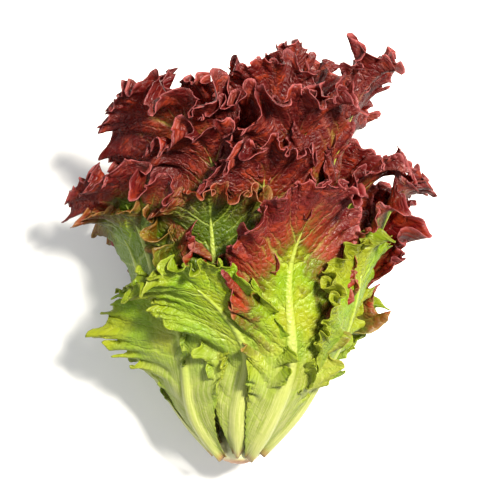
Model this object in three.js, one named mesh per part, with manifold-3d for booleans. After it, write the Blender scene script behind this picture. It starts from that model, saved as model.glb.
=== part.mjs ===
// Red leaf lettuce: one whole loose head lying on its back side, cut butt towards -Y, leaf tips
// towards +Y, seen side up. Millimetres, +Z up. One closed piece for each leaf and one for the
// stem core; every leaf is a thin ruffled blade with a midrib on its outer face.
import * as THREE from "three";
import { mergeVertices } from "three/addons/utils/BufferGeometryUtils.js";
import Module from "manifold-3d";

const wasm = await Module();
wasm.setup();

// the leaves, from the outermost ring to the heart
// azimuth: degrees round the head's axis, 0 towards +X and 90 up; shell: 1 outermost to 0 innermost
// lean and curl: degrees the blade opens further in its lower and in its upper part
// twist: millimetres one side stands out and the other in; swing: degrees the tip turns aside
// neck: how far up the blade widens; waves: ruffle crests and troughs down each side
// red: how far the red of the tip reaches down
const LEAVES = [
  { name: "outer_left", azimuth: 135, shell: 1, length: 136, half_width: 43, lean: -3, curl: 10,
    neck: 2.2, twist: 12, swing: 0, waves: 20, red: 0.05 },
  { name: "outer_front", azimuth: 93, shell: 0.95, length: 160, half_width: 40, lean: 0, curl: 55,
    neck: 2.2, twist: 7, swing: 22, waves: 20, red: 0.08 },
  { name: "outer_right", azimuth: 23, shell: 0.97, length: 166, half_width: 40, lean: 2, curl: 0,
    neck: 1.7, twist: 11, swing: 0, waves: 20, red: 0.12 },
  { name: "outer_low_left", azimuth: 191, shell: 0.99, length: 132, half_width: 45, lean: 0, curl: 0,
    neck: 2.3, twist: 7, swing: 0, waves: 16, red: 0.1 },
  { name: "outer_low", azimuth: 252, shell: 1, length: 130, half_width: 50, lean: 0, curl: 0,
    neck: 2.3, twist: 5, swing: 0, waves: 16, red: 0.1 },
  { name: "outer_low_right", azimuth: 311, shell: 0.99, length: 132, half_width: 46, lean: 0, curl: 0,
    neck: 2.3, twist: 11, swing: 0, waves: 16, red: 0.1 },
  { name: "tall_front_right", azimuth: 62, shell: 1, length: 206, half_width: 43, lean: -5, curl: 10,
    neck: 1.8, twist: 2, swing: -6, waves: 22, red: 0.65 },
  { name: "tall_right", azimuth: 4, shell: 0.84, length: 204, half_width: 42, lean: 3, curl: 33,
    neck: 2.2, twist: 7, swing: 0, waves: 18, red: 0.45 },
  { name: "tall_right_up", azimuth: 35, shell: 0.74, length: 208, half_width: 50, lean: 0, curl: 50,
    neck: 1.9, twist: 5, swing: 0, waves: 18, red: 0.7 },
  { name: "tall_left", azimuth: 167, shell: 0.89, length: 190, half_width: 58, lean: 3, curl: 27,
    neck: 1.9, twist: 5, swing: 0, waves: 18, red: 0.45 },
  { name: "tall_left_up", azimuth: 148, shell: 0.84, length: 216, half_width: 57, lean: 4, curl: 42,
    neck: 1.9, twist: 5, swing: 0, waves: 18, red: 0.8 },
  { name: "tall_low_left", azimuth: 211, shell: 0.78, length: 190, half_width: 56, lean: 0, curl: 0,
    neck: 1.9, twist: 15, swing: 0, waves: 16, red: 0.8 },
  { name: "tall_low", azimuth: 271, shell: 0.86, length: 205, half_width: 56, lean: 0, curl: 0,
    neck: 1.9, twist: 15, swing: 0, waves: 16, red: 0.8 },
  { name: "tall_low_right", azimuth: 323, shell: 0.84, length: 200, half_width: 56, lean: 0, curl: 0,
    neck: 1.9, twist: 15, swing: 0, waves: 16, red: 0.8 },
  { name: "tall_front", azimuth: 104, shell: 0.76, length: 190, half_width: 44, lean: -4, curl: 58,
    neck: 1.9, twist: 5, swing: 0, waves: 18, red: 0.3 },
  { name: "crown_left", azimuth: 137, shell: 0.64, length: 256, half_width: 55, lean: 3, curl: 50,
    neck: 1.8, twist: 9, swing: 0, waves: 18, red: 0.95 },
  { name: "crown_mid_left", azimuth: 119, shell: 0.65, length: 226, half_width: 42, lean: 0, curl: 65,
    neck: 1.8, twist: 8, swing: 0, waves: 18, red: 0.9 },
  { name: "crown_mid_right", azimuth: 86, shell: 0.6, length: 212, half_width: 38, lean: 0, curl: 70,
    neck: 1.8, twist: 5, swing: 0, waves: 18, red: 0.9 },
  { name: "crown_front_left", azimuth: 105, shell: 0.44, length: 224, half_width: 44, lean: 0, curl: 55,
    neck: 1.8, twist: 9, swing: 0, waves: 18, red: 0.95 },
  { name: "crown_front_right", azimuth: 66, shell: 0.56, length: 244, half_width: 48, lean: 0, curl: 60,
    neck: 1.8, twist: 9, swing: 0, waves: 18, red: 1 },
  { name: "crown_right", azimuth: 38, shell: 0.52, length: 256, half_width: 54, lean: 4, curl: 32,
    neck: 1.8, twist: 7, swing: 0, waves: 18, red: 1 },
  { name: "crown_far_right", azimuth: 357, shell: 0.54, length: 242, half_width: 50, lean: 0, curl: 10,
    neck: 1.8, twist: 5, swing: 0, waves: 18, red: 0.95 },
  { name: "crown_low_left", azimuth: 187, shell: 0.54, length: 236, half_width: 52, lean: 0, curl: 10,
    neck: 1.8, twist: 15, swing: 0, waves: 16, red: 0.9 },
  { name: "crown_low", azimuth: 247, shell: 0.6, length: 230, half_width: 52, lean: 0, curl: 0,
    neck: 1.8, twist: 15, swing: 0, waves: 16, red: 0.9 },
  { name: "crown_low_right", azimuth: 303, shell: 0.58, length: 248, half_width: 52, lean: 0, curl: 0,
    neck: 1.8, twist: 15, swing: 0, waves: 16, red: 0.9 },
  { name: "crown_front", azimuth: 77, shell: 0.3, length: 238, half_width: 44, lean: 0, curl: 45,
    neck: 1.8, twist: 9, swing: 0, waves: 16, red: 0.95 },
  { name: "heart_left", azimuth: 144, shell: 0.24, length: 214, half_width: 40, lean: 2, curl: 35,
    neck: 1.8, twist: 15, swing: 0, waves: 12, red: 0.9 },
  { name: "heart_low", azimuth: 223, shell: 0.34, length: 216, half_width: 40, lean: 2, curl: 15,
    neck: 1.8, twist: 11, swing: 0, waves: 12, red: 0.9 },
  { name: "heart_right", azimuth: 328, shell: 0.27, length: 232, half_width: 39, lean: 2, curl: 15,
    neck: 1.8, twist: 4, swing: 0, waves: 12, red: 0.9 },
  { name: "heart_up", azimuth: 51, shell: 0.14, length: 234, half_width: 38, lean: 2, curl: 10,
    neck: 1.8, twist: 5, swing: 0, waves: 12, red: 0.8 },
];

// blade and rib
const BLADE = 0.62;
const RIB_HEIGHT = 4.2;
const RIB_WIDTH = 12;
const RIB_END_WIDTH = 0.8;
const RIB_SHARE_MOST = 0.62;
const FOOT_HALF_WIDTH = 8.4;
const FOOT_HALF_WIDTH_INNER = 3.5;
const RAY_ROOT_SHARE = 0.82;
const MARGIN_STEPS = 400;

// ruffles: the wide folds, the frill and the lift of the whole margin
const FOLD_LENGTH = 62;
const FOLD_HEIGHT = 8.5;
const FOLD_OVERHANG = 4.0;
const FRILL_HEIGHT = 8.0;
const FRILL_IN_OUT = 2.5;
const MARGIN_LIFT = 5.0;
const FULL_HALF_WIDTH = 60;
const SMOOTH_BELOW = 40;
const RUFFLED_ABOVE = 92;

// the stem core and where the leaves stand on it
const BUTT_Y = -140;
const CORE_RADIUS = 15;
const CORE_STRAIGHT = 10;
const CORE_LENGTH = 85;
const CORE_SIDES = 24;
const CORE_CLEAR = 0.75;
const FOOT_LOWEST = 7;
const FOOT_RANGE = 56;

// how the head lies: its axis, its depth and the flattened side under it
const AXIS_X = -12;
const AXIS_X_BEND = 14;
const AXIS_Z = 49;
const AXIS_Z_DROP = 12;
const DEPTH = 0.8;
const HALF_BELOW = 62;
const WARP = 5.5;
const SHELL_LIFT = 45;
const SHELL_LIFT_DROP = 6.3;
const SHIFT_X = 4.5;
const SHIFT_Y = -1;

// clearance kept between neighbours, and how much a cutter is grown to leave it
const GROW = 0.36;
const CLEAR = 0.32;
const SHORT_EDGE = 0.3;
const SHORT_EDGE_FLATNESS = 0.05;
const SEAM_EDGE = 4;
const SEAM_FLATNESS = 0.015;
const OVERLAP_LEFT = 0.002;
const BLOCK_ROOM = 0.35;
const CLEAN_ROUNDS = 4;
const NEEDLE_WIDTH = 3e-3;
const MERGE_WITHIN = 1e-3;

const MERIDIAN_STEP = 3;
const MERIDIAN_STEPS = 120;
const DEG = Math.PI / 180;

function smooth(low, high, value) {
  const t = Math.min(1, Math.max(0, (value - low) / (high - low)));
  return t * t * (3 - 2 * t);
}

function draw(row, item) {
  const v = Math.sin(row * 12.9898 + item * 78.233) * 43758.5453;
  return v - Math.floor(v);
}

function interpolate(table, at, value) {
  let low = 0;
  let high = table.length - 1;
  if (value <= table[0][at]) return table[0];
  if (value >= table[high][at]) return table[high];
  while (high - low > 1) {
    const mid = (low + high) >> 1;
    if (table[mid][at] > value) high = mid;
    else low = mid;
  }
  const a = table[low];
  const b = table[high];
  const t = (value - a[at]) / (b[at] - a[at]);
  return a.map((v, i) => v + (b[i] - v) * t);
}

function coreRadius(height) {
  return CORE_RADIUS * (1 - smooth(CORE_STRAIGHT, CORE_LENGTH, height));
}

// distance along the leaf, radius from the axis, y and opening angle
function meridianOf(leaf) {
  const share = leaf.shell ** 1.25;
  const angleAt = (l) => {
    const inner = 6 - 5 * smooth(0, 60, l) - 2 * smooth(60, 140, l) - 3 * smooth(140, 230, l);
    const outer = 48 - 18 * smooth(0, 70, l) - 18 * smooth(50, 140, l) + 22 * smooth(130, 230, l);
    const along = l / leaf.length;
    return (inner + (outer - inner) * share
      + leaf.lean * smooth(0, 0.8, along) + leaf.curl * smooth(0.55, 1.1, along)) * DEG;
  };
  const foot = FOOT_LOWEST + FOOT_RANGE * (1 - leaf.shell);
  let r = coreRadius(foot) + CORE_CLEAR;
  let y = BUTT_Y + foot;
  const table = [[0, r, y, angleAt(0)]];
  for (let i = 1; i <= MERIDIAN_STEPS; i += 1) {
    const l = i * MERIDIAN_STEP;
    const middle = angleAt(l - MERIDIAN_STEP / 2);
    r += Math.sin(middle) * MERIDIAN_STEP;
    y += Math.cos(middle) * MERIDIAN_STEP;
    table.push([l, r, y, angleAt(l)]);
  }
  return table;
}

// arc length along the margin, ray number, distance across and distance along
function marginOf(leaf) {
  const foot = FOOT_HALF_WIDTH_INNER
    + (FOOT_HALF_WIDTH - FOOT_HALF_WIDTH_INNER) * leaf.shell ** 2;
  const table = [];
  let arc = 0;
  for (let i = 0; i <= MARGIN_STEPS; i += 1) {
    const a = i / MARGIN_STEPS;
    const belly = Math.max(0, Math.sin(Math.PI * a ** leaf.neck));
    const x = foot * (1 - a) ** 1.2 + leaf.half_width * belly ** 0.9;
    const l = leaf.length * (0.5 - 0.5 * Math.cos(Math.PI * a));
    if (i > 0) arc += Math.hypot(x - table[i - 1][2], l - table[i - 1][3]);
    table.push([arc, a, x, l]);
  }
  return table;
}

// 0 at the foot and 1 at the tip, with a little unevenness; crests fall at whole steps of 1 / waves
function frillPlace(k, side, t) {
  const wobble = 0.012 * Math.sin(Math.PI * t) * Math.sin(19 * t + 6.283 * draw(k, 30 + side));
  return t ** 1.25 + wobble;
}

function frillInverse(k, side, place) {
  let low = 0;
  let high = 1;
  for (let i = 0; i < 40; i += 1) {
    const mid = (low + high) / 2;
    if (frillPlace(k, side, mid) < place) low = mid;
    else high = mid;
  }
  return (low + high) / 2;
}

// one ray of the fan from the midrib to the margin
function rayOf(k, leaf, margin, side, t) {
  const total = margin[MARGIN_STEPS][0];
  const arc = t * total;
  const [, a, x, l] = interpolate(margin, 0, arc);
  const before = interpolate(margin, 0, Math.max(0, arc - 0.8));
  const after = interpolate(margin, 0, Math.min(total, arc + 0.8));
  const root = RAY_ROOT_SHARE * leaf.length * (l / leaf.length) ** 1.15;
  const run = [(after[2] - before[2]) * side, after[3] - before[3]];
  if (t > 0.999) {
    run[0] = side * -1;
    run[1] = 0;
  }
  const size = Math.hypot(run[0], run[1]) * -side;
  const along = root / leaf.length;
  const stout = 0.45 + 0.55 * leaf.shell;
  const ribWidth = RIB_WIDTH * stout * Math.max(0, 1 - along) ** 1.4 + RIB_END_WIDTH;
  return {
    side, t, a, x, l, root,
    s: (total - arc) * side,
    tx: run[0] / size, tl: run[1] / size,
    ribShare: Math.min(RIB_SHARE_MOST, ribWidth / Math.hypot(x, l - root)),
    ribHeight: RIB_HEIGHT * stout * Math.max(0, 1 - along) ** 1.2,
    grow: smooth(SMOOTH_BELOW, RUFFLED_ABOVE, l),
    frill: Math.PI * leaf.waves * frillPlace(k, side, t) + Math.PI / 2,
  };
}

// mid surface point of the blade in head space, from a ray and the share from rib to margin
function bladePoint(k, leaf, meridian, ray, share, ribLift) {
  const seed = (j) => 6.283 * draw(k, j);
  const s = ray.s;
  const size = leaf.half_width / FULL_HALF_WIDTH * ray.grow;
  const fold = 2 * Math.PI * s / FOLD_LENGTH + 1.3 * Math.sin(s * 0.019 + seed(1)) + seed(2);
  const foldSize = size * (0.75 + 0.35 * Math.sin(s * 0.031 + seed(7)));
  const frillSize = size * (0.7 + 0.45 * Math.sin(s * 0.057 + seed(8)));
  let rise = FOLD_HEIGHT * foldSize * share ** 1.6 * Math.sin(fold)
    + FRILL_HEIGHT * frillSize * share ** 4 * Math.sin(ray.frill)
    + MARGIN_LIFT * ray.grow * share ** 3;
  const slide = -FOLD_OVERHANG * foldSize * share ** 3 * Math.sin(2 * fold);
  const reach = FRILL_IN_OUT * ray.grow * share ** 6 * Math.sin(ray.frill + 1.1) * frillSize;
  const x = ray.x * ray.side * share + slide * ray.tx - reach * ray.tl;
  const l = ray.root + (ray.l - ray.root) * share ** 1.3 + slide * ray.tl + reach * ray.tx;
  rise += leaf.twist * x / leaf.half_width * smooth(40, 120, l);
  rise += 3.5 * Math.sin(x * 0.045 + seed(15)) * Math.sin(l * 0.035 + seed(16))
    * smooth(30, 90, l);
  const [, r, y, angle] = interpolate(meridian, 0, l);
  const turn = leaf.azimuth * DEG + leaf.swing * DEG * smooth(0.45, 1, l / leaf.length)
    + x / Math.hypot(r, 30) + 0.1 * Math.sin(l * 0.016 + seed(17)) * smooth(30, 120, l);
  const out = r + rise * Math.cos(angle);
  const point = laid(out * Math.cos(turn), y - rise * Math.sin(angle), out * Math.sin(turn));
  const lift = SHELL_LIFT * (1 - leaf.shell) - SHELL_LIFT_DROP * smooth(-40, 10, point[1]);
  point[2] = Math.max(point[2], BLADE / 2 + Math.max(0, lift) + ribLift);
  return point;
}

// slow uneven waves of the whole head, its flattened lower side and its place in the row's frame
function laid(x, y, z) {
  const size = WARP * smooth(-120, -40, y);
  let px = x + size * (Math.sin(y * 0.041 + 1.3) * Math.cos(z * 0.037 + 0.4)
    + 0.6 * Math.sin(z * 0.055 + x * 0.02));
  const py = y + size * Math.sin(x * 0.043 + 0.7) * Math.cos(z * 0.031 + 2.1);
  let pz = z + size * Math.sin(x * 0.036 + 2.9) * Math.cos(y * 0.04 + 0.2);
  pz *= 1 - (1 - DEPTH) * smooth(10, 60, Math.abs(pz));
  if (pz < 0) pz = -HALF_BELOW * Math.tanh(-pz / HALF_BELOW);
  px += AXIS_X + AXIS_X_BEND * smooth(-140, 120, py);
  pz += AXIS_Z - AXIS_Z_DROP * (1 - smooth(-150, 0, py));
  return [px + SHIFT_X, py + SHIFT_Y, pz];
}

// rows from the midrib out: share of the rib, or share of the blade beyond it, and column stride
const ROWS = [
  { rib: 0, stride: 4 },
  { rib: 1, stride: 4 },
  { blade: 0.42, stride: 2 },
  { blade: 0.78, stride: 1 },
  { blade: 1, stride: 1 },
];

// mid surface grid of a leaf: points, rib heights, triangles and the boundary loop
function sheetOf(k, leaf) {
  const meridian = meridianOf(leaf);
  const margin = marginOf(leaf);
  const n = leaf.waves;
  const rays = [];
  for (let i = 0; i <= 2 * n; i += 1) {
    const side = i <= n ? -1 : 1;
    const place = Math.min(i, 2 * n - i) / n;
    const t = place >= 1 ? 1 : frillInverse(k, side, place);
    rays.push(rayOf(k, leaf, margin, side, t));
  }
  const points = [];
  const ribs = [];
  const index = [];
  ROWS.forEach((row, j) => {
    const list = [];
    for (let i = 0; i <= 2 * n; i += row.stride) {
      if (j === 0 && i > n) {
        list.push(list[(2 * n - i) / row.stride]);
        continue;
      }
      const ray = rays[i];
      const inRib = row.rib !== undefined;
      const share = inRib ? ray.ribShare * row.rib : ray.ribShare + (1 - ray.ribShare) * row.blade;
      const height = inRib ? Math.max(0, 1 - row.rib ** 2) ** 0.75 * ray.ribHeight : 0;
      list.push(points.length);
      points.push(bladePoint(k, leaf, meridian, ray, share, height));
      ribs.push(height);
    }
    index.push(list);
  });
  const faces = [];
  for (let j = 0; j + 1 < ROWS.length; j += 1) {
    const near = index[j];
    const far = index[j + 1];
    const ratio = ROWS[j].stride / ROWS[j + 1].stride;
    for (let i = 0; i + 1 < near.length; i += 1) {
      if (ratio === 1) {
        faces.push([near[i], far[i], far[i + 1]], [near[i], far[i + 1], near[i + 1]]);
      } else {
        faces.push([near[i], far[2 * i], far[2 * i + 1]]);
        faces.push([near[i], far[2 * i + 1], near[i + 1]]);
        faces.push([near[i + 1], far[2 * i + 1], far[2 * i + 2]]);
      }
    }
  }
  const rows = ROWS.length;
  const loop = [...index[rows - 1]];
  for (let j = rows - 2; j > 0; j -= 1) loop.push(index[j][index[j].length - 1]);
  for (let j = 0; j < rows - 1; j += 1) loop.push(index[j][0]);
  return { points, ribs, faces, loop };
}

function subtract3(a, b) {
  return [a[0] - b[0], a[1] - b[1], a[2] - b[2]];
}

function cross3(a, b) {
  return [a[1] * b[2] - a[2] * b[1], a[2] * b[0] - a[0] * b[2], a[0] * b[1] - a[1] * b[0]];
}

function unit3(a) {
  const size = Math.hypot(a[0], a[1], a[2]) || 1;
  return [a[0] / size, a[1] / size, a[2] / size];
}

function dot3(a, b) {
  return a[0] * b[0] + a[1] * b[1] + a[2] * b[2];
}

// closed solid of a sheet: outer face with the rib, inner face and rim, grown all round by `grow`
function solidOf(sheet, grow, offset = [0, 0, 0]) {
  const { points, ribs } = sheet;
  let { faces, loop } = sheet;
  const normalsOf = (list) => {
    const sums = points.map(() => [0, 0, 0]);
    const flat = list.map((f) => cross3(subtract3(points[f[1]], points[f[0]]),
      subtract3(points[f[2]], points[f[0]])));
    list.forEach((f, i) => f.forEach((v) => {
      for (let c = 0; c < 3; c += 1) sums[v][c] += flat[i][c];
    }));
    return { normals: sums.map(unit3), flat: flat.map(unit3) };
  };
  let { normals, flat } = normalsOf(faces);
  let outward = 0;
  points.forEach((p, i) => {
    outward += (p[0] - AXIS_X) * normals[i][0] + (p[2] - AXIS_Z) * normals[i][2];
  });
  if (outward < 0) {
    faces = faces.map((f) => [f[0], f[2], f[1]]);
    loop = [...loop].reverse();
    ({ normals, flat } = normalsOf(faces));
  }
  // keep the blade's true thickness where it folds
  const facing = points.map(() => [0, 0]);
  faces.forEach((f, i) => f.forEach((v) => {
    facing[v][0] += dot3(flat[i], normals[v]);
    facing[v][1] += 1;
  }));
  const half = points.map((p, i) => (BLADE / 2 + grow) / Math.max(0.5, facing[i][0] / facing[i][1]));
  const shift = points.map(() => [0, 0, 0]);
  if (grow > 0) {
    loop.forEach((v, i) => {
      const before = points[loop[(i + loop.length - 1) % loop.length]];
      const after = points[loop[(i + 1) % loop.length]];
      const away = unit3(cross3(subtract3(after, before), normals[v]));
      shift[v] = away.map((c) => c * grow * 1.3);
    });
  }
  const count = points.length;
  const outer = points.map((p, i) => p.map((c, d) => {
    return c + shift[i][d] + normals[i][d] * (half[i] + ribs[i]);
  }));
  const inner = points.map((p, i) => p.map((c, d) => c + shift[i][d] - normals[i][d] * half[i]));
  const vertices = outer.concat(inner);
  vertices.forEach((v) => {
    if (grow === 0) v[2] = Math.max(0, v[2]);
    for (let c = 0; c < 3; c += 1) v[c] += offset[c];
  });
  const triangles = faces.concat(faces.map((f) => [f[0] + count, f[2] + count, f[1] + count]));
  loop.forEach((v, i) => {
    const next = loop[(i + 1) % loop.length];
    triangles.push([v, v + count, next + count], [v, next + count, next]);
  });
  return manifoldOf(vertices, triangles);
}

// a leaf with room all round it, to cut its neighbours clear
function cutterOf(sheet) {
  let cutter = solidOf(sheet, GROW);
  for (let axis = 0; axis < 3; axis += 1) {
    for (const way of [-1, 1]) {
      const offset = [0, 0, 0];
      offset[axis] = way * CLEAR;
      cutter = cutter.add(solidOf(sheet, 0, offset));
    }
  }
  return cutter;
}

function manifoldOf(vertices, triangles) {
  return new wasm.Manifold(new wasm.Mesh({
    numProp: 3,
    vertProperties: Float32Array.from(vertices.flat()),
    triVerts: Uint32Array.from(triangles.flat()),
  }));
}

// stem core: cut face with a slight dome, a collar of trimmed leaf bases, and a taper inside
const CORE_PROFILE = [
  [0.9, 6], [2.6, 10.4], [5.6, 13.6], [10, 14.8], [20, 13.9], [34, 10.9], [48, 7.1], [62, 3.4],
];

function coreOf(grow) {
  const vertices = [];
  const triangles = [];
  vertices.push(laid(0, BUTT_Y + 0.2 - grow, 0));
  CORE_PROFILE.forEach(([height, radius], j) => {
    for (let i = 0; i < CORE_SIDES; i += 1) {
      const turn = 2 * Math.PI * i / CORE_SIDES;
      const uneven = j === 2 || j === 3 ? 0.5 * Math.sin(turn * 5 + j) : 0;
      const r = radius + uneven + grow;
      vertices.push(laid(r * Math.cos(turn), BUTT_Y + height, r * Math.sin(turn)));
    }
  });
  vertices.push(laid(0, BUTT_Y + 66 + grow, 0));
  const last = vertices.length - 1;
  const rings = CORE_PROFILE.length;
  for (let i = 0; i < CORE_SIDES; i += 1) {
    const next = (i + 1) % CORE_SIDES;
    triangles.push([0, 1 + i, 1 + next]);
    for (let j = 0; j + 1 < rings; j += 1) {
      const a = 1 + j * CORE_SIDES;
      const b = a + CORE_SIDES;
      triangles.push([a + i, b + i, b + next], [a + i, b + next, a + next]);
    }
    const top = 1 + (rings - 1) * CORE_SIDES;
    triangles.push([top + i, last, top + next]);
  }
  return manifoldOf(vertices, triangles);
}

// the separate bodies of a solid, as points and triangles, with the largest first
function bodiesOf(solid) {
  const { numProp, vertProperties, triVerts } = solid.getMesh();
  const points = [];
  for (let i = 0; i < vertProperties.length; i += numProp) {
    points.push(Array.from(vertProperties.subarray(i, i + 3)));
  }
  const triangles = [];
  for (let i = 0; i < triVerts.length; i += 3) {
    triangles.push([triVerts[i], triVerts[i + 1], triVerts[i + 2]]);
  }
  const parent = triangles.map((t, i) => i);
  const rootOf = (i) => {
    let root = i;
    while (parent[root] !== root) root = parent[root];
    parent[i] = root;
    return root;
  };
  const edges = new Map();
  triangles.forEach((t, i) => t.forEach((v, e) => {
    const w = t[(e + 1) % 3];
    const key = Math.min(v, w) * points.length + Math.max(v, w);
    if (edges.has(key)) parent[rootOf(i)] = rootOf(edges.get(key));
    else edges.set(key, i);
  }));
  const bodies = new Map();
  triangles.forEach((triangle, i) => {
    const root = rootOf(i);
    if (!bodies.has(root)) bodies.set(root, { points, triangles: [], volume: 0 });
    const body = bodies.get(root);
    const [a, b, c] = triangle.map((v) => points[v]);
    body.triangles.push(triangle);
    body.volume += dot3(a, cross3(b, c)) / 6;
  });
  return [...bodies.values()].sort((a, b) => b.volume - a.volume);
}

// cuts a small block out round these points
function blockCut(solid, corners) {
  const low = [0, 1, 2].map((c) => Math.min(...corners.map((p) => p[c])) - BLOCK_ROOM);
  const high = [0, 1, 2].map((c) => Math.max(...corners.map((p) => p[c])) + BLOCK_ROOM);
  const box = new THREE.BoxGeometry(...subtract3(high, low));
  box.translate(...low.map((v, c) => (v + high[c]) / 2));
  box.deleteAttribute("normal");
  box.deleteAttribute("uv");
  const block = mergeVertices(box);
  return solid.subtract(new wasm.Manifold(new wasm.Mesh({
    numProp: 3,
    vertProperties: block.getAttribute("position").array,
    triVerts: Uint32Array.from(block.index.array),
  })));
}

// cuts away what a leaf still shares with a neighbour, a small block at a time
function clearedOf(solid, neighbour) {
  const common = solid.intersect(neighbour);
  if (common.volume() < OVERLAP_LEFT) return solid;
  return bodiesOf(common).reduce((result, { points, triangles }) => {
    return blockCut(result, triangles.flat().map((v) => points[v]));
  }, solid);
}

// the widest corner of a triangle, and how narrow the triangle is there
function narrowestOf(corners) {
  const [a, b, c] = corners;
  const sides = [[b, c, a], [c, a, b], [a, b, c]].map(([from, to, opposite]) => {
    return { length: Math.hypot(...subtract3(to, from)), opposite };
  });
  const longest = sides.reduce((best, side) => (side.length > best.length ? side : best));
  const width = Math.hypot(...cross3(subtract3(b, a), subtract3(c, a))) / longest.length;
  return { width, corner: longest.opposite };
}

// cuts away the places where a leaf's surface only touches itself or has a needle of a triangle
function unpinchedOf(solid) {
  const { points, triangles } = bodiesOf(solid)[0];
  const seen = new Map();
  const pinches = [];
  new Set(triangles.flat()).forEach((v) => {
    const key = points[v].map((c) => Math.round(c / MERGE_WITHIN / 2)).join(",");
    if (seen.has(key)) pinches.push(points[v]);
    else seen.set(key, v);
  });
  triangles.forEach((triangle) => {
    const { width, corner } = narrowestOf(triangle.map((v) => points[v]));
    if (width < NEEDLE_WIDTH) pinches.push(corner);
  });
  return pinches.reduce((result, point) => blockCut(result, [point]), solid);
}

// draws the ends of very short edges together, where that leaves the surface closed and unfolded
function withoutShortEdges({ points, triangles }) {
  const around = points.map(() => new Set());
  const alive = triangles.map(() => true);
  triangles.forEach((t, i) => t.forEach((v) => around[v].add(i)));
  const neighbours = (v) => {
    const set = new Set();
    around[v].forEach((i) => triangles[i].forEach((w) => w !== v && set.add(w)));
    return set;
  };
  const normalOf = (t, moved, to) => {
    const [a, b, c] = t.map((v) => points[v === moved ? to : v]);
    return cross3(subtract3(b, a), subtract3(c, a));
  };
  const lengthOf = (a, b) => Math.hypot(...subtract3(points[a], points[b]));
  const mayMove = (from, to, flatness) => {
    for (const i of around[from]) {
      if (triangles[i].includes(to)) continue;
      const before = normalOf(triangles[i], -1, -1);
      const after = normalOf(triangles[i], from, to);
      const size = Math.hypot(...before);
      if (size > 1e-3) {
        const off = dot3(subtract3(points[to], points[from]), before) / size;
        if (Math.abs(off) > flatness) return false;
        if (dot3(before, after) < 0.7 * size * Math.hypot(...after)) return false;
      }
      if (Math.hypot(...after) < 1e-4) return false;
    }
    const near = neighbours(from);
    return [...neighbours(to)].filter((v) => near.has(v)).length === 2;
  };
  let changed = true;
  while (changed) {
    changed = false;
    for (let i = 0; i < triangles.length; i += 1) {
      for (let e = 0; alive[i] && e < 3; e += 1) {
        const a = triangles[i][e];
        const b = triangles[i][(e + 1) % 3];
        const length = lengthOf(a, b);
        if (length > SEAM_EDGE) continue;
        const flatness = length < SHORT_EDGE ? SHORT_EDGE_FLATNESS : SEAM_FLATNESS;
        const pair = mayMove(b, a, flatness) ? [b, a] : [a, b];
        if (!mayMove(pair[0], pair[1], flatness)) continue;
        const [from, to] = pair;
        [...around[from]].forEach((j) => {
          if (triangles[j].includes(to)) {
            alive[j] = false;
            triangles[j].forEach((v) => around[v].delete(j));
          } else {
            triangles[j] = triangles[j].map((v) => (v === from ? to : v));
            around[to].add(j);
          }
        });
        around[from].clear();
        changed = true;
      }
    }
  }
  const used = new Map();
  const kept = [];
  const faces = triangles.filter((t, i) => alive[i]).map((t) => t.map((v) => {
    if (!used.has(v)) {
      used.set(v, kept.length);
      kept.push(points[v]);
    }
    return used.get(v);
  }));
  return { points: kept, triangles: faces };
}

function colourOf(leaf) {
  const green = new THREE.Color(0.6, 0.74, 0.24);
  const red = new THREE.Color(0.42, 0.15, 0.17);
  return green.lerp(red, leaf.red);
}

// a solid of a body whose nearly coincident vertices are made one
function mergedOf({ points, triangles }) {
  const geometry = new THREE.BufferGeometry();
  geometry.setAttribute("position", new THREE.Float32BufferAttribute(points.flat(), 3));
  geometry.setIndex(triangles.flat());
  const merged = mergeVertices(geometry, MERGE_WITHIN);
  return new wasm.Manifold(new wasm.Mesh({
    numProp: 3,
    vertProperties: merged.getAttribute("position").array,
    triVerts: Uint32Array.from(merged.index.array),
  }));
}

function meshOf(name, body, colour, roughness) {
  const geometry = new THREE.BufferGeometry();
  geometry.setAttribute("position", new THREE.Float32BufferAttribute(body.points.flat(), 3));
  geometry.setIndex(body.triangles.flat());
  const material = new THREE.MeshStandardMaterial({ color: colour, roughness, metalness: 0 });
  const node = new THREE.Mesh(geometry, material);
  node.name = name;
  return node;
}

const group = new THREE.Group();
group.name = "red_leaf_lettuce";
const core = coreOf(0);
const cutters = [coreOf(GROW)];
const finished = [core];
group.add(meshOf("stem_core", bodiesOf(core)[0], new THREE.Color(0.78, 0.68, 0.5), 0.6));
LEAVES.forEach((leaf, k) => {
  const sheet = sheetOf(k, leaf);
  let solid = solidOf(sheet, 0);
  for (const cutter of cutters) solid = solid.subtract(cutter);
  let body = withoutShortEdges(bodiesOf(solid)[0]);
  for (let round = 0; round < CLEAN_ROUNDS; round += 1) {
    solid = mergedOf(body);
    for (const neighbour of finished) solid = clearedOf(solid, neighbour);
    solid = unpinchedOf(solid);
    body = withoutShortEdges(bodiesOf(solid)[0]);
  }
  [body] = bodiesOf(mergedOf(body));
  finished.push(mergedOf(body));
  cutters.push(cutterOf(sheet));
  group.add(meshOf(leaf.name, body, colourOf(leaf), 0.5));
});

export default group;
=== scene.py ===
from math import pi, radians

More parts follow.
